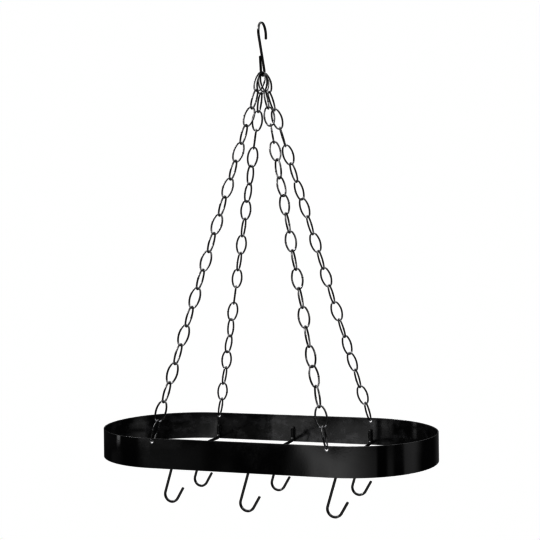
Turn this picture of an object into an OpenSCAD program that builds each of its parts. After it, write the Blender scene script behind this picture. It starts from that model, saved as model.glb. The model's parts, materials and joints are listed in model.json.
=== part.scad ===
// Hanging pot rack: an oval band of steel strip on four chains under one S-hook,
// with three cross rods and six loose pot hooks.
//
// Millimetres, +Z up. X runs along the oval, Y across it, away from the viewer.
// The origin is where a ceiling hook bears: the inside top of the S-hook's upper crook.
// Everything below is placed from the S-hook down, along four taut chains.

/* [Band] */
// Length of the oval, outside
band_length = 610; // [520:5:760]
// Width of the oval, outside
band_width = 296; // [240:4:340]
// Height of the strip on edge
strip_height = 50; // [40:1:70]
// Thickness of the strip
strip_thickness = 2; // [1.5:0.1:3]
// Radius of the strip's rolled edges
strip_edge_radius = 0.4; // [0.2:0.1:0.6]
// Diameter of the four chain holes
chain_hole_diameter = 5.6; // [5.2:0.1:7]
// Drop from the band's top edge to the middle of a chain hole
chain_hole_drop = 5.6; // [5:0.1:12]
// How far the welds of the outer rods stand inside the straight sides
station_inset = 0.2; // [0:0.2:20]
// Place of the butt weld along the far side, from the middle
seam_x = -48; // [-90:1:-20]
// Width of the line that the ground butt weld leaves
seam_width = 0.8; // [0.4:0.1:1.5]

/* [Cross rods] */
// Diameter of the round bar
rod_diameter = 6; // [5:0.5:8]
// Height of a rod's middle over the band's lower edge
rod_height = 2; // [0:0.5:10]
// Radius of the bends, at the middle of the bar
rod_bend_radius = 8; // [6:0.5:14]
// Height of the upturned ends over the middle of the rod
rod_leg_height = 24; // [20:1:34]
// Air between an upturned end and the wall it is welded to
rod_wall_gap = 0.3; // [0.2:0.1:0.6]
// Bare length of an upturned end above and below its weld
weld_margin = 2.5; // [1:0.1:2.5]
// How far the weld reaches past the bar on each side
weld_leg = 0.6; // [0.4:0.1:1.5]

/* [S-hook] */
// Diameter of the S-hook's wire
shook_wire = 4; // [3.5:0.5:6.5]
// Inner radius of the upper crook
upper_crook_inner = 17.5; // [14:0.5:25]
// Inner radius of the lower crook
lower_crook_inner = 7; // [7:0.5:10]
// Distance between the middles of the two crooks
crook_distance = 66; // [60:1:90]
// Straight end of the upper crook
upper_tip_length = 5; // [2:1:16]
// Straight end of the lower crook
lower_tip_length = 24; // [16:1:30]
// Outward lean of the lower crook's straight end
lower_tip_lean = 6; // [0:1:10]

/* [Chains] */
// Links in each chain, an even number so that the last one is edge-on to the band
link_count = 20; // [16:2:24]
// Diameter of the link wire
link_wire = 2.6; // [2.2:0.1:2.8]
// Length inside a link
link_inner_length = 33.6; // [28:0.2:38]
// Width of a link, outside
link_width = 21; // [18:0.5:23]
// Radius of a link's ends, at the middle of the wire
link_end_radius = 6.5; // [5.5:0.1:7.5]
// Air between two links, and between the last link and its hole
link_gap = 0.2; // [0.15:0.05:0.3]
// Air between a first link and the S-hook
crook_gap = 0.35; // [0.3:0.05:0.5]
// Diameter of the weld bead on one side of each link
link_bead = 3.4; // [3:0.1:4]

/* [Pot hooks] */
// Diameter of the pot hooks' wire
hook_wire = 4; // [3:0.5:5]
// Air between a pot hook and its rod
hook_gap = 0.3; // [0.2:0.1:0.6]
// Radius of the large crook, at the middle of the wire
hook_crook_radius = 12.8; // [9:0.2:16]
// Distance from the rod to the middle of the large crook
hook_drop = 63; // [50:1:90]
// Straight end of the large crook
hook_tip_length = 21; // [10:1:26]
// Outward lean of that straight end
hook_tip_lean = 30; // [10:1:40]
// How far the small crook wraps round the rod
hook_wrap = 205; // [190:5:225]
// From the near wall to the near hook, on the left, middle and right rod
near_hook_offsets = [73, 44, 42]; // [30:1:80]
// From the far wall to the far hook, on the left, middle and right rod
far_hook_offsets = [92, 90, 90]; // [30:1:95]

/* [Hidden] */
$fn = 32;

CHAINS = ["near_left", "near_right", "far_left", "far_right"];
STATIONS = ["left", "middle", "right"];
LINK_GROUPS = 10;

BLACK = [0.03, 0.03, 0.032];
BLACK_SHEEN = [0.06, 0.06, 0.065];
// Share of the wire's diameter that is rounded off at a cut end
TIP_ROUND = 0.3;
// A wire's straights and flat curves are this much fatter in radius than its tight
// bends, and lap over them by this length, so that each bent wire is one solid
JOINT_STEP = 0.02;
JOINT_LAP = 0.2;

// The outer rods, and the chain holes over them, stand at the ends of the straight sides
straight_half = (band_length - band_width) / 2;
weld_width = rod_diameter + 2 * weld_leg;
station_x = straight_half - station_inset - weld_width / 2;
station_xs = [-station_x, 0, station_x];
inner_wall_y = band_width / 2 - strip_thickness;
mid_wall_y = band_width / 2 - strip_thickness / 2;

// S-hook: both crooks are centred on the line of the load
upper_crook_radius = upper_crook_inner + shook_wire / 2;
lower_crook_radius = lower_crook_inner + shook_wire / 2;
upper_crook_z = -upper_crook_inner;
lower_crook_z = upper_crook_z - crook_distance;
shank_lean = asin((upper_crook_radius + lower_crook_radius) / crook_distance);
shank_length = crook_distance * cos(shank_lean);

// Link outline: two end arcs and two side arcs that meet tangent
link_half_width = (link_width - link_wire) / 2;
link_half_length = (link_inner_length + link_wire) / 2;
link_end_z = link_half_length - link_end_radius;
link_side_radius = (link_half_width ^ 2 + link_end_z ^ 2 - link_end_radius ^ 2)
    / (2 * (link_half_width - link_end_radius));
link_side_x = link_side_radius - link_half_width;
link_side_angle = atan2(link_end_z, link_side_x);

// The four first links sit side by side round the inside of the lower crook
first_link_radius = lower_crook_inner - crook_gap - link_wire / 2;
first_link_spacing = 2 * asin((link_wire + 2 * link_gap) / (2 * first_link_radius));
first_link_angles = [for (k = [-1.5, -0.5, 0.5, 1.5]) k * first_link_spacing];
outer_top = crook_point(first_link_radius, first_link_angles[0]);

// The band hangs as far down as the taut outermost chain lets it
taut_length = link_count * link_inner_length + link_wire - (link_count - 1) * link_gap;
chain_end_z = outer_top.z
    - sqrt(taut_length ^ 2 - station_x ^ 2 - (mid_wall_y + outer_top.y) ^ 2);
chain_ends = [
    [-station_x, -mid_wall_y, chain_end_z],
    [station_x, -mid_wall_y, chain_end_z],
    [-station_x, mid_wall_y, chain_end_z],
    [station_x, mid_wall_y, chain_end_z]
];
chain_tops = [for (c = [0:3]) bearing_point(first_link_angles[c], chain_ends[c])];

// The last link leans across the wall, so its hole has to clear it at the outer face
end_lean = (mid_wall_y + outer_top.y) / taut_length;
end_reach = strip_thickness / 2 + link_end_radius * end_lean;
end_depth = sqrt(link_end_radius ^ 2 - end_reach ^ 2);
end_rise = link_end_radius * (sqrt(1 - end_lean ^ 2) + link_wire / 2 / end_depth) - end_depth;
chain_hole_z = chain_end_z + end_rise + link_gap - chain_hole_diameter / 2;
band_top_z = chain_hole_z + chain_hole_drop;
band_base_z = band_top_z - strip_height;
rod_z = band_base_z + rod_height;

// Turns of each chain about its own line: [first link, last link, degrees]
chain_turns = [
    [],
    [[3, 9, 90], [15, 20, -90]],
    [[3, 8, 90], [12, 17, 90]],
    [[3, 9, 90], [13, 18, 90]]
];

// Cross rods: straight run, two bends, two upturned ends welded to the wall
rod_leg_y = inner_wall_y - rod_wall_gap - rod_diameter / 2;
rod_run = 2 * (rod_leg_y - rod_bend_radius);
rod_leg_length = rod_leg_height - rod_bend_radius;
weld_length = rod_leg_length - 2 * weld_margin;

// Pot hook outline, in its own plane with the rod's middle at the origin
hook_eye_radius = rod_diameter / 2 + hook_gap + hook_wire / 2;
hook_lean = asin((hook_eye_radius + hook_crook_radius) / hook_drop);
hook_eye_from = -hook_lean;
hook_crook_from = 180 - hook_lean;
hook_crook_to = 360 - hook_tip_lean;
hook_shank_top = polar(hook_eye_radius, hook_eye_from);
hook_shank_foot = [0, -hook_drop] + polar(hook_crook_radius, hook_crook_from);
hook_tip_root = [0, -hook_drop] + polar(hook_crook_radius, hook_crook_to);
hook_tip_end = hook_tip_root + hook_tip_length * [sin(hook_tip_lean), cos(hook_tip_lean)];

// A pot hook hangs turned until its centre of mass is under the rod
hook_moment = arc_moment([0, 0], hook_eye_radius, hook_eye_from, hook_wrap)
    + line_moment(hook_shank_top, hook_shank_foot)
    + arc_moment([0, -hook_drop], hook_crook_radius, hook_crook_from, hook_crook_to)
    + line_moment(hook_tip_root, hook_tip_end);
hook_hang_angle = atan2(hook_moment[0], -hook_moment[1]);

function polar(r, a) = [r * cos(a), r * sin(a)];
function unit(v) = v / norm(v);

// A point at radius r about the lower crook's middle, at angle a from straight down
function crook_point(r, a) = [0, r * sin(a), lower_crook_z - r * cos(a)];

// Top of a first link that bears on the crook at angle a, pulled towards a chain's end
function bearing_point(a, end) =
    let (wire = crook_point(lower_crook_radius, a),
         way = [0, cos(a), sin(a)],
         pull = unit(wire - end))
    wire + (shook_wire / 2 + crook_gap + link_wire / 2) * unit(pull - (pull * way) * way);

// First moments of a bent wire: of an arc about centre c, and of a straight from p to q
function arc_moment(c, r, from, to) = c * r * (to - from) * PI / 180
    + r * r * [sin(to) - sin(from), cos(from) - cos(to)];
function line_moment(p, q) = norm(q - p) * (p + q) / 2;

// Turn of link i about the chain's line, on top of the quarter turn from link to link
function ramp(i, t) = t[2] * min(max((i - t[0]) / (t[1] - t[0]), 0), 1);
function turned(i, turns, k = 0) =
    k < len(turns) ? ramp(i, turns[k]) + turned(i, turns, k + 1) : 0;

// Pieces of wire, in the XZ plane, with angles from +X towards +Z

module wire_arc(radius, wire, from, to) {
    rotate([90, 0, 0])
        rotate([0, 0, from])
            rotate_extrude(angle = to - from)
                translate([radius, 0])
                    circle(d = wire);
}

// A flatter curve or a straight, lapped over the bends at its two ends
module wire_side(radius, wire, from, to) {
    lap = JOINT_LAP / radius * 180 / PI;
    wire_arc(radius, wire + 2 * JOINT_STEP, from - lap, to + lap);
}

module wire_straight(wire, length) {
    translate([0, 0, -JOINT_LAP])
        cylinder(h = length + 2 * JOINT_LAP, d = wire + 2 * JOINT_STEP);
}

// A cut end with its edge broken, seated on the XY plane and pointing up
module wire_end(wire) {
    edge = TIP_ROUND * wire;
    rotate_extrude() {
        square([wire / 2 - edge, edge]);
        intersection() {
            translate([wire / 2 - edge, 0])
                circle(edge);
            square([wire / 2, edge]);
        }
    }
}

// A straight length that leaves an arc at the given angle and ends in a cut end
module wire_tip(radius, wire, at, length, lean) {
    translate([radius * cos(at), 0, radius * sin(at)])
        rotate([0, lean, 0]) {
            translate([0, 0, -JOINT_LAP])
                cylinder(h = length + JOINT_LAP, d = wire + 2 * JOINT_STEP);
            translate([0, 0, length])
                wire_end(wire + 2 * JOINT_STEP);
        }
}

module s_hook() {
    color(BLACK_SHEEN)
        rotate([0, 0, 90]) {
            translate([0, 0, upper_crook_z]) {
                wire_arc(upper_crook_radius, shook_wire, 0, 180 + shank_lean);
                wire_tip(upper_crook_radius, shook_wire, 0, upper_tip_length, 180);
                // Straight shank, tangent to both crooks
                translate([-upper_crook_radius * cos(shank_lean), 0,
                           -upper_crook_radius * sin(shank_lean)])
                    rotate([0, 180 - shank_lean, 0])
                        wire_straight(shook_wire, shank_length);
            }
            translate([0, 0, lower_crook_z]) {
                wire_arc(lower_crook_radius, shook_wire, lower_tip_lean - 180, shank_lean);
                wire_tip(lower_crook_radius, shook_wire, lower_tip_lean - 180,
                         lower_tip_length, -lower_tip_lean);
            }
        }
}

// Cross-section of the strip: thickness along X, height along Y, edges rolled round
module strip_section() {
    r = strip_edge_radius;
    translate([r, 0])
        square([strip_thickness - 2 * r, strip_height]);
    translate([0, r])
        square([strip_thickness, strip_height - 2 * r]);
    for (x = [r, strip_thickness - r], y = [r, strip_height - r])
        translate([x, y])
            circle(r);
}

module oval_band() {
    color(BLACK)
        difference() {
            translate([0, 0, band_base_z])
                for (side = [0, 180])
                    rotate([0, 0, side]) {
                        translate([-straight_half, inner_wall_y, 0])
                            rotate([90, 0, 90])
                                linear_extrude(2 * straight_half)
                                    strip_section();
                        translate([straight_half, 0, 0])
                            rotate([0, 0, -90])
                                rotate_extrude(angle = 180, $fn = 160)
                                    translate([inner_wall_y, 0])
                                        strip_section();
                    }
            for (end = chain_ends)
                translate([end.x, sign(end.y) * (mid_wall_y + strip_thickness), chain_hole_z])
                    rotate([sign(end.y) * 90, 0, 0])
                        cylinder(h = 2 * strip_thickness, d = chain_hole_diameter);
            // The ground butt weld shows as a hairline inside and out
            for (face_y = [inner_wall_y, band_width / 2])
                translate([seam_x, face_y, band_base_z - 1])
                    cylinder(h = strip_height + 2, d = seam_width);
        }
}

// Weld that fills the corners between an upturned rod end and the wall
module leg_weld() {
    reach = inner_wall_y - rod_leg_y;
    fillet = weld_leg + rod_diameter / 4;
    linear_extrude(weld_length)
        difference() {
            translate([-weld_width / 2, 0])
                square([weld_width, reach]);
            for (side = [-1, 1])
                translate([side * weld_width / 2, 0])
                    circle(fillet);
        }
}

module rod_end() {
    translate([0, rod_leg_y - rod_bend_radius, rod_bend_radius]) {
        rotate([0, 0, 90])
            wire_arc(rod_bend_radius, rod_diameter, -90, 0);
        translate([0, rod_bend_radius, 0]) {
            cylinder(h = rod_leg_length, d = rod_diameter);
            translate([0, 0, rod_leg_length])
                wire_end(rod_diameter);
            translate([0, 0, weld_margin])
                leg_weld();
        }
    }
}

module cross_rod(x) {
    color(BLACK)
        translate([x, 0, rod_z]) {
            translate([0, rod_run / 2, 0])
                rotate([90, 0, 0])
                    cylinder(h = rod_run, d = rod_diameter);
            rod_end();
            mirror([0, 1, 0])
                rod_end();
        }
}

module link() {
    for (half = [0, 180])
        rotate([0, half, 0]) {
            translate([0, 0, link_end_z])
                wire_arc(link_end_radius, link_wire, link_side_angle, 180 - link_side_angle);
            translate([-link_side_x, 0, 0])
                wire_side(link_side_radius, link_wire, -link_side_angle, link_side_angle);
        }
    // The butt weld stands out as a bead half-way along one side
    translate([link_half_width, 0, 0])
        sphere(d = link_bead);
}

// Link i of chain c, hung on the taut line from the S-hook to the band
module chain_link(c, i) {
    top = chain_tops[c];
    line = chain_ends[c] - top;
    up = -line / norm(line);
    pitch = (norm(line) - link_inner_length - link_wire) / (link_count - 1);
    middle = top - up * ((i - 1) * pitch + link_half_length);
    translate(middle)
        rotate([atan2(-up.y, up.z), 0, 0])
            rotate([0, asin(up.x), 0])
                rotate([0, 0, 90 * (i - 1) + turned(i, chain_turns[c])])
                    link();
}

module chain_links(c, group) {
    color(BLACK_SHEEN)
        for (i = [1:link_count])
            if (ceil(i * LINK_GROUPS / link_count) == group)
                chain_link(c, i);
}

// One pot hook over the rod at x, at y along it
module pot_hook(x, y) {
    color(BLACK)
        translate([x, y, rod_z])
            rotate([0, hook_hang_angle, 0]) {
                wire_arc(hook_eye_radius, hook_wire, hook_eye_from, hook_wrap);
                wire_tip(hook_eye_radius, hook_wire, hook_wrap, 0, 360 - hook_wrap);
                translate([hook_shank_top[0], 0, hook_shank_top[1]])
                    rotate([0, 180 + hook_lean, 0])
                        wire_straight(hook_wire, norm(hook_shank_foot - hook_shank_top));
                translate([0, 0, -hook_drop]) {
                    wire_arc(hook_crook_radius, hook_wire, hook_crook_from, hook_crook_to);
                    wire_tip(hook_crook_radius, hook_wire, hook_crook_to,
                             hook_tip_length, hook_tip_lean);
                }
            }
}

s_hook();
oval_band();
for (k = [0:2])
    cross_rod(station_xs[k]);
for (k = [0:2])
    pot_hook(station_xs[k], near_hook_offsets[k] - inner_wall_y);
for (k = [0:2])
    pot_hook(station_xs[k], inner_wall_y - far_hook_offsets[k]);
for (c = [0:3], g = [1:LINK_GROUPS])
    chain_links(c, g);
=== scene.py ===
"""Looks of a hanging pot rack: gloss black coated strip, bar, wire and chain.

Metres, +Z up. The origin is the inside top of the S-hook's upper crook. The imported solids
keep their shapes and get procedural coatings; the weld beads at the cross rods' ends are
the only pieces added to them.
"""
import json
import math

import bmesh
import bpy
from mathutils import Matrix, Vector


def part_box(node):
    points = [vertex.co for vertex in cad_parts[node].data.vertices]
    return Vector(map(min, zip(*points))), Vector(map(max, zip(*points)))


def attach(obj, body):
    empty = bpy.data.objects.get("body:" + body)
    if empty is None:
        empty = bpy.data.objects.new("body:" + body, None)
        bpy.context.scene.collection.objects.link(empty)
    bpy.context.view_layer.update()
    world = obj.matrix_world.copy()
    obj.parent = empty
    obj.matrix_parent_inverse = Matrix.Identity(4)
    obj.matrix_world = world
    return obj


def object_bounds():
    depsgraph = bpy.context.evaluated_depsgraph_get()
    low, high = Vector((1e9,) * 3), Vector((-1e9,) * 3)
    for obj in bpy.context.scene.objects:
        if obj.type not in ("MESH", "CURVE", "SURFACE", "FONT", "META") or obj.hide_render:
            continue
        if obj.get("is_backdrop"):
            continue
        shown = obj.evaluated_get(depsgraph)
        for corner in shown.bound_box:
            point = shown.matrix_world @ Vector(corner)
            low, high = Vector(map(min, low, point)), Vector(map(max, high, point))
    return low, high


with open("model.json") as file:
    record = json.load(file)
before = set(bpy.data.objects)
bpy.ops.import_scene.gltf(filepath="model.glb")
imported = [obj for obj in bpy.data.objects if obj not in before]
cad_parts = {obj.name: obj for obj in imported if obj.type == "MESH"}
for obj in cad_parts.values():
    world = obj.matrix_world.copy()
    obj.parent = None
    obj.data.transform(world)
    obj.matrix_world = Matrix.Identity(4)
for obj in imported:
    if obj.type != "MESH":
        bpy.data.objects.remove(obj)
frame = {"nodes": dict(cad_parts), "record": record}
cad_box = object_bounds()

# Camera: where the photograph was taken from, in metres and degrees
CAMERA_PLACE = (0.5877, -1.6185, -0.4365)
CAMERA_YAW = -17.30
CAMERA_PITCH = -0.11
CAMERA_ROLL = -0.74
CAMERA_REACH = 100
FRAME_PIXELS = 540
FOCAL_PIXELS = 965.6
SENSOR_WIDTH = 36.0
CENTRE_OFFSET_PIXELS = 40

# Floor and display
FLOOR_DROP = 0.6
FLOOR_SIZE = 40.0
PAPER_WHITE = (1.0, 1.0, 1.0, 1.0)
NO_COLOUR = (0.0, 0.0, 0.0, 1.0)
DISPLAY_GAMMA = 0.5

# Studio, seen only in the rack's reflections. Turns are degrees round Z from straight in
# front of the rack, positive to the right. Heights are the Z of a unit direction. A pair
# gives where something starts and where it is full.
# Each light: the turns where it starts, is full, fades and ends, and its level
LOW_LIGHTS = (
    (-19.2, -16.6, -6, 52, 3.2),
    (-19.2, -16.6, 43, 47, 1.4),
    (57, 62, 66, 72, 1.2),
    (83, 86, 98, 120, 1.9),
    (-50, -30, -24, -22, 0.85),
    (-110, -95, -85, -70, 0.27),
)
HIGH_LIGHTS = (
    (-20.6, -19.2, -18.6, -17, 4.5),
    (-20.6, -19.2, -13, -9, 2.3),
    (-13, -9, 0, 6, 0.6),
    (81, 86, 100, 124, 2.0),
)
HIGH_FROM = (-0.181, -0.171)
# Strips for the inside of the right curve, with where they start and where they stop
CURVE_LIGHTS = (
    (-47, -39, -27.5, -25.5, 4.6),
    (-89, -85.5, -81, -77.5, 4.0),
)
CURVE_FROM = (-0.1705, -0.1645)
CURVE_TO = (-0.05, -0.1)
# Strong lamps above, which give the wires their glints
LAMPS = (
    (-82, -74, -52, -44, 45.0),
    (28, 34, 46, 52, 25.0),
)
LAMPS_FROM = (0.42, 0.5)
LAMPS_TO = (0.72, 0.64)
ROOM_LEVEL = 0.06
OVERHEAD_FROM = (0.2, 0.5)
OVERHEAD_LEVEL = 3.5
# The paper behind the rack, and the box that lights the rack's back from low down
PAPER_FROM = (148, 168)
PAPER_LEVEL = 0.25
BACK_BOX_FROM = (164, 170)
BACK_BOX_BELOW = (-0.2, -0.26)
BACK_BOX_LEVEL = 3.5

# Places on the rack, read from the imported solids
BAND_LOW, BAND_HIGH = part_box("oval_band")
ROD_LOW, ROD_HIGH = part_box("right_cross_rod")
STATION_X = (ROD_LOW.x + ROD_HIGH.x) / 2
INNER_WALL_Y = ROD_HIGH.y
STRIP_THICKNESS = BAND_HIGH.y - INNER_WALL_Y

# Sizes and places that the solids' boxes don't give, as in the part's source
ROD_DIAMETER = 0.006
ROD_Z = ROD_LOW.z + ROD_DIAMETER / 2
HOLE_DROP = 0.0056
HOLE_RADIUS = 0.0028
HOLE_Z = BAND_HIGH.z - HOLE_DROP
STRAIGHT_HALF = 0.157
SEAM_X = -0.048
HOOK_DROP = 0.063
HOOK_CROOK_INNER = 0.0108
HOOK_CROOK_X = 0.0001
SHOOK_UPPER_INNER = 0.0175
SHOOK_UPPER_Z = -SHOOK_UPPER_INNER
SHOOK_LOWER_INNER = 0.007
SHOOK_LOWER_Z = -0.0835
CHAIN_TOP = Vector((0, 0.0028, -0.088))
LINK_PITCH = 0.0334

# Weld beads between the upturned rod ends and the wall. The last three are shares: how
# deep the ripples cut, and how many radii the bead stands off the rod and off the wall.
WELD_LENGTH = 0.0124
WELD_MIDDLE_BELOW_TOP = 0.0098
WELD_RADIUS = 0.00125
WELD_END_FULLNESS = 1.6
WELD_RIPPLES = 9
WELD_STEPS = 5
WELD_SIDES = 12
WELD_MERGE = 1e-7
WELD_RIPPLE_DEPTH = 0.16
WELD_OFF_ROD = 0.1
WELD_OFF_WALL = 0.9

# Coating: linear colours and roughness
COAT_BLACK = (0.0028, 0.0028, 0.003, 1)
COAT_DUSTED = (0.011, 0.011, 0.0115, 1)
RUBBED_GREY = (0.05, 0.05, 0.052, 1)
BARE_STEEL = (0.28, 0.28, 0.29, 1)
COAT_GLOSS = 0.13
STRIP_GLOSS = 0.05
SHOOK_GLOSS = 0.16
LINK_GLOSS = 0.12
WELD_GLOSS = 0.22
COAT_HAZED = 0.3
RUBBED_ROUGHNESS = 0.42

# Patterns: cells per metre, or how many of one in another
FINE_PER_CLOUD = 14
SPECKS_PER_DRIFT = 9
RUB_GRAIN = 900
EDGE_CHIPS = 60
GRINDING_MARKS = 240
INSIDE_CLOUDS = 38
STRIP_WAVES = 7.5
ROD_SCUFFS = 70
WELD_GRAIN = 900

# Depths of relief, in metres
PEEL_DEPTH = 0.000012
ROD_PEEL_DEPTH = 0.00001
WIRE_PEEL_DEPTH = 0.000008
GRINDING_DEPTH = 0.00009
SEAM_PEAK = 0.0007
WAVE_DEPTH = 0.0022
WELD_GRAIN_DEPTH = 0.00003

# Worn and dusty places: distances in metres where each starts and where it is full
EDGE_WEAR = (0.0009, 0.0001)
HOLE_WEAR = (HOLE_RADIUS + 0.0022, HOLE_RADIUS + 0.0002)
GROUND_WIDTH = (0.007, 0.002)
FAR_WALL = (0, 0.01)
INNER_FACE = (INNER_WALL_Y + STRIP_THICKNESS * 0.7, INNER_WALL_Y + STRIP_THICKNESS * 0.3)
SEAM_PEAK_REACH = 0.09
ROD_TOP = (ROD_DIAMETER * 0.36, ROD_DIAMETER * 0.5)
ROD_RUN = (INNER_WALL_Y - 0.02, INNER_WALL_Y - 0.04)
EYE_WEAR = (0.0046, 0.0034)
EYE_TOP = (0.0005, 0.002)
HOOK_CROOK_WEAR = (HOOK_CROOK_INNER + 0.0011, HOOK_CROOK_INNER)
HOOK_CROOK_BOTTOM = (0, -0.003)
SHOOK_UPPER_WEAR = (SHOOK_UPPER_INNER + 0.0012, SHOOK_UPPER_INNER)
SHOOK_UPPER_TOP = (0.012, 0.0165)
SHOOK_LOWER_WEAR = (SHOOK_LOWER_INNER + 0.0012, SHOOK_LOWER_INNER)
SHOOK_LOWER_BOTTOM = (-0.001, -0.004)
# In link pitches from where two links bear
LINK_WEAR = (0.1, 0.03)

# Shares: what grinding and dust do to the strip
GRINDING_DULLS = 0.25
INSIDE_HAZE = 0.07
INSIDE_DUST = 0.4


class Signal:
    """An output socket that takes part in sums: each operator adds a Math node."""

    def __init__(self, tree, socket):
        self.tree = tree
        self.socket = socket

    def math(self, operation, *others):
        inputs = dict(enumerate((self, *others)))
        return self.tree.node("ShaderNodeMath", {"operation": operation}, inputs)

    def __add__(self, other):
        return self.math("ADD", other)

    def __sub__(self, other):
        return self.math("SUBTRACT", other)

    def __rsub__(self, other):
        return self.tree.number(other).math("SUBTRACT", self)

    def __mul__(self, other):
        return self.math("MULTIPLY", other)

    def __truediv__(self, other):
        return self.math("DIVIDE", other)

    def __abs__(self):
        return self.math("ABSOLUTE")

    def __round__(self):
        return self.math("ROUND")

    __radd__ = __add__
    __rmul__ = __mul__

    def hypot(self, other):
        return (self * self + other * other).math("SQRT")

    def rise(self, low, high):
        """0 below low, 1 above high, smooth between; falls instead where low is above high."""
        if low > high:
            return 1 - self.rise(high, low)
        settings = {"interpolation_type": "SMOOTHSTEP"}
        inputs = {"Value": self, "From Min": low, "From Max": high}
        return self.tree.node("ShaderNodeMapRange", settings, inputs)


class Tree:
    """A node tree with one method that adds any node."""

    def __init__(self, node_tree):
        self.node_tree = node_tree

    def node(self, kind, settings=None, inputs=None, output=0):
        made = self.node_tree.nodes.new(kind)
        for name, value in (settings or {}).items():
            setattr(made, name, value)
        for key, value in (inputs or {}).items():
            if isinstance(value, Signal):
                self.node_tree.links.new(value.socket, made.inputs[key])
            else:
                made.inputs[key].default_value = value
        return Signal(self, made.outputs[output])

    def number(self, value):
        made = self.node("ShaderNodeValue")
        made.socket.default_value = value
        return made

    def split(self, vector):
        return [self.node("ShaderNodeSeparateXYZ", None, {0: vector}, axis) for axis in range(3)]

    def mix_colour(self, share, plain, other):
        settings = {"data_type": "RGBA"}
        return self.node("ShaderNodeMix", settings, {0: share, 6: plain, 7: other}, 2)


class Coating(Tree):
    """A gloss black coating, which gets its haze, its texture and its worn places one by one."""

    def __init__(self, name, gloss=COAT_GLOSS):
        self.material = bpy.data.materials.new(name)
        self.material.use_nodes = True
        super().__init__(self.material.node_tree)
        self.surface = self.node_tree.nodes["Principled BSDF"]
        self.place = self.node("ShaderNodeTexCoord", output=3)
        self.x, self.y, self.z = self.split(self.place)
        self.colour = self.mix_colour(0.0, COAT_BLACK, COAT_BLACK)
        self.roughness = self.number(gloss)
        self.metallic = self.number(0.0)
        self.normal = None

    def noise(self, scale, detail=2.0, stretch=(1, 1, 1), roughness=0.5):
        at = self.node("ShaderNodeMapping", None, {"Vector": self.place, "Scale": stretch})
        inputs = {"Vector": at, "Scale": scale, "Detail": detail, "Roughness": roughness}
        return self.node("ShaderNodeTexNoise", None, inputs)

    def haze(self, scale, amount, stretch=(1, 1, 1)):
        """Cloudy dust and wiping marks: slightly paler and duller than the clean coating."""
        cloud = self.noise(scale, 5.0, stretch, roughness=0.6).rise(0.42, 0.72)
        fine = self.noise(scale * FINE_PER_CLOUD, 3.0, stretch).rise(0.35, 0.8)
        share = cloud * (0.45 + 0.55 * fine) * amount
        self.colour = self.mix_colour(share, self.colour, COAT_DUSTED)
        self.roughness = self.roughness + share * (COAT_HAZED - COAT_GLOSS)

    def specks(self, scale, amount):
        """Sparse fine specks of dust."""
        distance = self.node("ShaderNodeTexVoronoi", None, {"Vector": self.place, "Scale": scale})
        drift = self.noise(scale / SPECKS_PER_DRIFT).rise(0.5, 0.7)
        share = distance.rise(0.1, 0.04) * drift * amount
        self.colour = self.mix_colour(share, self.colour, RUBBED_GREY)
        self.roughness = self.roughness + share * (RUBBED_ROUGHNESS - COAT_GLOSS)

    def rub(self, share, amount, bare):
        """A rubbed place: dull grey, with some bare steel in its middle."""
        broken = self.noise(RUB_GRAIN, detail=4.0, roughness=0.65)
        worn = (share * (0.55 + broken)).rise(0.45, 0.95) * amount
        steel = (share * (0.4 + broken)).rise(0.75, 1.0) * bare
        self.colour = self.mix_colour(worn, self.colour, RUBBED_GREY)
        self.colour = self.mix_colour(steel, self.colour, BARE_STEEL)
        self.roughness = self.roughness + worn * (RUBBED_ROUGHNESS - COAT_GLOSS)
        self.metallic = self.metallic + steel

    def relief(self, height, depth):
        """Adds a bump to the surface: a height without unit, times a depth in metres."""
        inputs = {"Height": height, "Distance": depth, "Strength": 1.0}
        if self.normal:
            inputs["Normal"] = self.normal
        self.normal = self.node("ShaderNodeBump", None, inputs)

    def orange_peel(self, scale, depth):
        """The fine dimples of a sprayed and baked coating."""
        self.relief(self.noise(scale), depth)

    def finish(self):
        links = self.node_tree.links
        links.new(self.colour.socket, self.surface.inputs["Base Color"])
        links.new(self.roughness.math("MINIMUM", 1.0).socket, self.surface.inputs["Roughness"])
        links.new(self.metallic.math("MINIMUM", 1.0).socket, self.surface.inputs["Metallic"])
        links.new(self.normal.socket, self.surface.inputs["Normal"])
        return self.material


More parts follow.
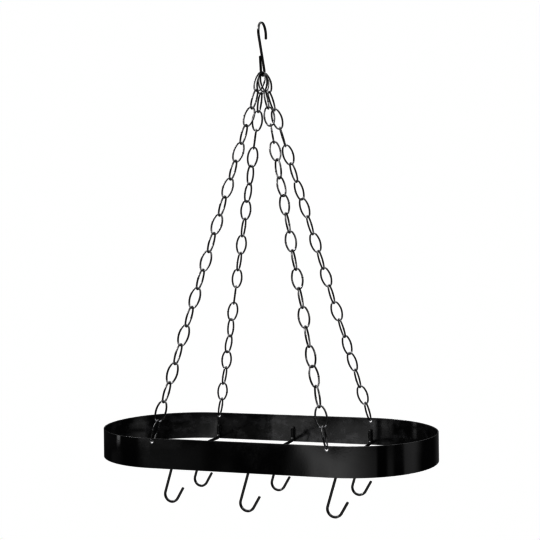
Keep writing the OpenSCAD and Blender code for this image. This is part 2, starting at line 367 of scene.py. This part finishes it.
def band_coating():
    """Powder coat on flat strip: slightly wavy, cloudy, with rubbed edges and chain holes."""
    coat = Coating("gloss_black_strip", STRIP_GLOSS)
    coat.haze(scale=16, amount=0.6)
    coat.haze(scale=5, amount=0.4, stretch=(1, 1, 2.5))
    coat.specks(scale=260, amount=0.5)
    middle_z = (BAND_LOW.z + BAND_HIGH.z) / 2
    half_height = (BAND_HIGH.z - BAND_LOW.z) / 2
    from_edge = half_height - abs(coat.z - middle_z)
    chips = coat.noise(EDGE_CHIPS, detail=4.0).rise(0.45, 0.7)
    coat.rub(from_edge.rise(*EDGE_WEAR) * chips, amount=0.7, bare=0.25)
    to_hole = (abs(coat.x) - STATION_X).hypot(coat.z - HOLE_Z)
    coat.rub(to_hole.rise(*HOLE_WEAR), amount=0.8, bare=0.35)
    # The ground butt weld in the far wall
    to_seam = abs(coat.x - SEAM_X)
    far_wall = coat.y.rise(*FAR_WALL)
    ground = to_seam.rise(*GROUND_WIDTH) * far_wall
    marks = coat.noise(GRINDING_MARKS, detail=3.0, stretch=(9, 1, 1))
    coat.roughness = coat.roughness + ground * marks * GRINDING_DULLS
    coat.relief(ground * marks, GRINDING_DEPTH)
    # Dust lies thicker on the inside, where nobody wipes it
    from_axis = (abs(coat.x) - STRAIGHT_HALF).math("MAXIMUM", 0.0).hypot(coat.y)
    inside = from_axis.rise(*INNER_FACE)
    coat.roughness = coat.roughness + inside * INSIDE_HAZE
    clouds = coat.noise(INSIDE_CLOUDS, detail=5.0, stretch=(1, 1, 1.6), roughness=0.6).rise(0.45, 0.68)
    coat.colour = coat.mix_colour(inside * clouds * INSIDE_DUST, coat.colour, RUBBED_GREY)
    # The two ends of the strip meet at a slight peak in the seam
    peak = (1 - to_seam / SEAM_PEAK_REACH).math("MAXIMUM", 0.0)
    coat.relief(peak * peak * far_wall, SEAM_PEAK)
    # Waves that rolling and bending leave in the strip
    coat.relief(coat.noise(STRIP_WAVES, detail=1.0, stretch=(1, 1, 0.6)), WAVE_DEPTH)
    coat.orange_peel(scale=420, depth=PEEL_DEPTH)
    return coat.finish()


def rod_coating():
    """Coated bar, scuffed along its top where the pot hooks slide."""
    coat = Coating("gloss_black_bar")
    coat.haze(scale=24, amount=0.9)
    coat.specks(scale=300, amount=0.4)
    top = (coat.z - ROD_Z).rise(*ROD_TOP)
    run = abs(coat.y).rise(*ROD_RUN)
    scuffs = coat.noise(ROD_SCUFFS, detail=5.0, stretch=(1, 0.4, 1), roughness=0.7).rise(0.5, 0.62)
    coat.rub(top * run * scuffs, amount=0.7, bare=0.3)
    coat.orange_peel(scale=520, depth=ROD_PEEL_DEPTH)
    return coat.finish()


def pot_hook_coating():
    """Coated wire, rubbed inside the eye by the rod and inside the crook by pan handles."""
    coat = Coating("gloss_black_hook_wire")
    coat.haze(scale=40, amount=0.4)
    coat.specks(scale=420, amount=0.3)
    off_rod = coat.x - round(coat.x / STATION_X) * STATION_X
    over_rod = coat.z - ROD_Z
    to_rod = off_rod.hypot(over_rod)
    coat.rub(to_rod.rise(*EYE_WEAR) * over_rod.rise(*EYE_TOP), amount=0.9, bare=0.6)
    over_crook = over_rod + HOOK_DROP
    to_crook = (off_rod - HOOK_CROOK_X).hypot(over_crook)
    bottom = (over_crook + HOOK_CROOK_INNER / 2).rise(*HOOK_CROOK_BOTTOM)
    coat.rub(to_crook.rise(*HOOK_CROOK_WEAR) * bottom, amount=0.8, bare=0.4)
    coat.orange_peel(scale=600, depth=WIRE_PEEL_DEPTH)
    return coat.finish()


def s_hook_coating():
    """Coated heavier wire, rubbed where the ceiling hook and the first links bear."""
    coat = Coating("gloss_black_s_hook_wire", SHOOK_GLOSS)
    coat.haze(scale=38, amount=0.4)
    coat.specks(scale=400, amount=0.3)
    over_upper = coat.z - SHOOK_UPPER_Z
    over_lower = coat.z - SHOOK_LOWER_Z
    to_upper = coat.y.hypot(over_upper)
    to_lower = coat.y.hypot(over_lower)
    coat.rub(to_upper.rise(*SHOOK_UPPER_WEAR) * over_upper.rise(*SHOOK_UPPER_TOP), amount=0.9, bare=0.6)
    coat.rub(to_lower.rise(*SHOOK_LOWER_WEAR) * over_lower.rise(*SHOOK_LOWER_BOTTOM), amount=0.9, bare=0.6)
    coat.orange_peel(scale=520, depth=ROD_PEEL_DEPTH)
    return coat.finish()


def chain_coating():
    """Coated link wire, rubbed where one link bears on the next."""
    coat = Coating("gloss_black_link_wire", LINK_GLOSS)
    coat.haze(scale=45, amount=0.4)
    coat.specks(scale=450, amount=0.3)
    chain_end = Vector((STATION_X, INNER_WALL_Y + STRIP_THICKNESS / 2, HOLE_Z + HOLE_RADIUS / 2))
    along = (chain_end - CHAIN_TOP).normalized()
    links_down = (abs(coat.x) * along.x + abs(coat.y) * along.y
                  + (coat.z - CHAIN_TOP.z) * along.z - CHAIN_TOP.y * along.y) / LINK_PITCH
    from_joint = abs(links_down - round(links_down))
    coat.rub(from_joint.rise(*LINK_WEAR), amount=0.6, bare=0.35)
    coat.orange_peel(scale=600, depth=WIRE_PEEL_DEPTH)
    return coat.finish()


def weld_coating():
    """Coated weld bead, duller and grainier than the bar."""
    coat = Coating("gloss_black_weld", WELD_GLOSS)
    coat.haze(scale=90, amount=1.0)
    coat.relief(coat.noise(WELD_GRAIN, detail=3.0), WELD_GRAIN_DEPTH)
    return coat.finish()


def paint(node, material):
    """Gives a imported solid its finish, without touching its mesh."""
    slots = frame["nodes"][node].data.materials
    slots.clear()
    slots.append(material)


def paint_solids():
    finishes = {
        "s_hook": s_hook_coating(),
        "chain": chain_coating(),
        "band": band_coating(),
        "cross_rods": rod_coating(),
        "pot_hooks": pot_hook_coating(),
    }
    for part in frame["record"]["subparts"]:
        paint(part["node"], finishes[part["material_slot"]])


def weld_bead(name, place, material):
    """A rippled bead up the corner between a rod's end and the wall, closed at both ends."""
    bead = bmesh.new()
    steps = WELD_RIPPLES * WELD_STEPS
    outline = []
    for step in range(steps + 1):
        end = min(1.0, WELD_END_FULLNESS * math.sqrt(math.sin(math.pi * step / steps)))
        ripple = 1 - WELD_RIPPLE_DEPTH * ((step % WELD_STEPS) / WELD_STEPS) ** 2
        height = WELD_LENGTH * (step / steps - 0.5)
        outline.append(bead.verts.new((WELD_RADIUS * end * ripple, 0, height)))
    edges = [bead.edges.new(pair) for pair in zip(outline, outline[1:])]
    bmesh.ops.spin(bead, geom=outline + edges, cent=(0, 0, 0), axis=(0, 0, 1),
                   angle=2 * math.pi, steps=WELD_SIDES, use_merge=True)
    bmesh.ops.remove_doubles(bead, verts=bead.verts, dist=WELD_MERGE)
    bmesh.ops.recalc_face_normals(bead, faces=bead.faces)
    bmesh.ops.translate(bead, vec=place, verts=bead.verts)
    mesh = bpy.data.meshes.new(name)
    bead.to_mesh(mesh)
    bead.free()
    mesh.shade_smooth()
    mesh.materials.append(material)
    piece = bpy.data.objects.new(name, mesh)
    bpy.context.scene.collection.objects.link(piece)
    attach(piece, "rack")


def add_weld_beads():
    """Two beads at each end of each rod, one on either side of it."""
    material = weld_coating()
    for rod in ("left", "middle", "right"):
        low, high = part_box(f"{rod}_cross_rod")
        middle_x = (low.x + high.x) / 2
        z = high.z - WELD_MIDDLE_BELOW_TOP
        for wall, side in (("near", -1), ("far", 1)):
            y = side * (INNER_WALL_Y - WELD_RADIUS * WELD_OFF_WALL)
            for edge, turn in (("left", -1), ("right", 1)):
                x = middle_x + turn * (ROD_DIAMETER / 2 + WELD_RADIUS * WELD_OFF_ROD)
                weld_bead(f"{rod}_rod_{wall}_weld_{edge}", (x, y, z), material)


def add_floor():
    """A floor below the hanging rack, which shines as white as the paper behind it."""
    low = cad_box[0]
    mesh = bpy.data.meshes.new("floor")
    plane = bmesh.new()
    bmesh.ops.create_grid(plane, x_segments=1, y_segments=1, size=FLOOR_SIZE)
    bmesh.ops.translate(plane, vec=(0, 0, low[2] - FLOOR_DROP), verts=plane.verts)
    plane.to_mesh(mesh)
    plane.free()
    material = bpy.data.materials.new("pale_paper")
    material.use_nodes = True
    surface = material.node_tree.nodes["Principled BSDF"]
    surface.inputs["Base Color"].default_value = NO_COLOUR
    surface.inputs["Specular IOR Level"].default_value = 0.0
    surface.inputs["Emission Color"].default_value = PAPER_WHITE
    surface.inputs["Emission Strength"].default_value = 1.0
    mesh.materials.append(material)
    floor = bpy.data.objects.new("floor", mesh)
    bpy.context.scene.collection.objects.link(floor)
    floor.visible_glossy = False
    floor.visible_diffuse = False
    floor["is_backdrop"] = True


def light_studio():
    """Plain white to the camera. To the rack: paper behind and a dim room with soft lights."""
    world = bpy.data.worlds.new("studio")
    world.use_nodes = True
    bpy.context.scene.world = world
    tree = Tree(world.node_tree)
    x, y, z = tree.split(tree.node("ShaderNodeTexCoord", output=0))
    turn = x.math("ARCTAN2", y * -1) * (180 / math.pi)
    from_front = abs(turn)

    def shine(lights):
        """A group of lights side by side round the rack, in the dim of the room."""
        total = tree.number(ROOM_LEVEL)
        for start, full, fading, end, level in lights:
            total = total + turn.rise(start, full) * turn.rise(end, fading) * level
        return total

    high = z.rise(*HIGH_FROM)
    room = shine(LOW_LIGHTS) * (1 - high) + shine(HIGH_LIGHTS) * high
    paper = from_front.rise(*PAPER_FROM)
    back_box = from_front.rise(*BACK_BOX_FROM) * z.rise(*BACK_BOX_BELOW) * BACK_BOX_LEVEL
    curve = shine(CURVE_LIGHTS) * z.rise(*CURVE_FROM) * z.rise(*CURVE_TO)
    overhead = z.rise(*OVERHEAD_FROM) * OVERHEAD_LEVEL
    lamps = shine(LAMPS) * z.rise(*LAMPS_FROM) * z.rise(*LAMPS_TO)
    level = room * (1 - paper) + paper * (PAPER_LEVEL + back_box) + overhead + lamps + curve
    seen = tree.node("ShaderNodeLightPath", output=0)
    strength = seen + (1 - seen) * level
    background = world.node_tree.nodes["Background"]
    world.node_tree.links.new(strength.socket, background.inputs["Strength"])
    background.inputs["Color"].default_value = PAPER_WHITE


def add_camera():
    """The photograph's viewpoint; the shift is the photograph's off-centre crop."""
    yaw, pitch, roll = (math.radians(a) for a in (CAMERA_YAW, CAMERA_PITCH, CAMERA_ROLL))
    forward = Vector((math.sin(yaw) * math.cos(pitch), math.cos(yaw) * math.cos(pitch), math.sin(pitch)))
    level_right = Vector((math.cos(yaw), -math.sin(yaw), 0))
    level_up = level_right.cross(forward)
    right = level_right * math.cos(roll) + level_up * math.sin(roll)
    up = level_up * math.cos(roll) - level_right * math.sin(roll)
    data = bpy.data.cameras.new("camera")
    data.sensor_width = SENSOR_WIDTH
    data.lens = FOCAL_PIXELS / FRAME_PIXELS * SENSOR_WIDTH
    data.shift_x = -CENTRE_OFFSET_PIXELS / FRAME_PIXELS
    data.clip_end = CAMERA_REACH
    camera = bpy.data.objects.new("camera", data)
    turn = Matrix((right, up, -forward)).transposed().to_4x4()
    camera.matrix_world = Matrix.Translation(CAMERA_PLACE) @ turn
    bpy.context.scene.collection.objects.link(camera)
    bpy.context.scene.camera = camera


def set_display():
    """Display settings of a bright product photograph: plain colours, deepened darks."""
    bpy.context.scene.view_settings.view_transform = "Standard"
    bpy.context.scene.view_settings.gamma = DISPLAY_GAMMA


def plain(box):
    """A box as lists of numbers, for JSON."""
    return [[float(v) for v in corner] for corner in box]


add_camera()
add_floor()
light_studio()
paint_solids()
add_weld_beads()
set_display()

{"cad": plain(cad_box), "visual": plain(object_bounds())}
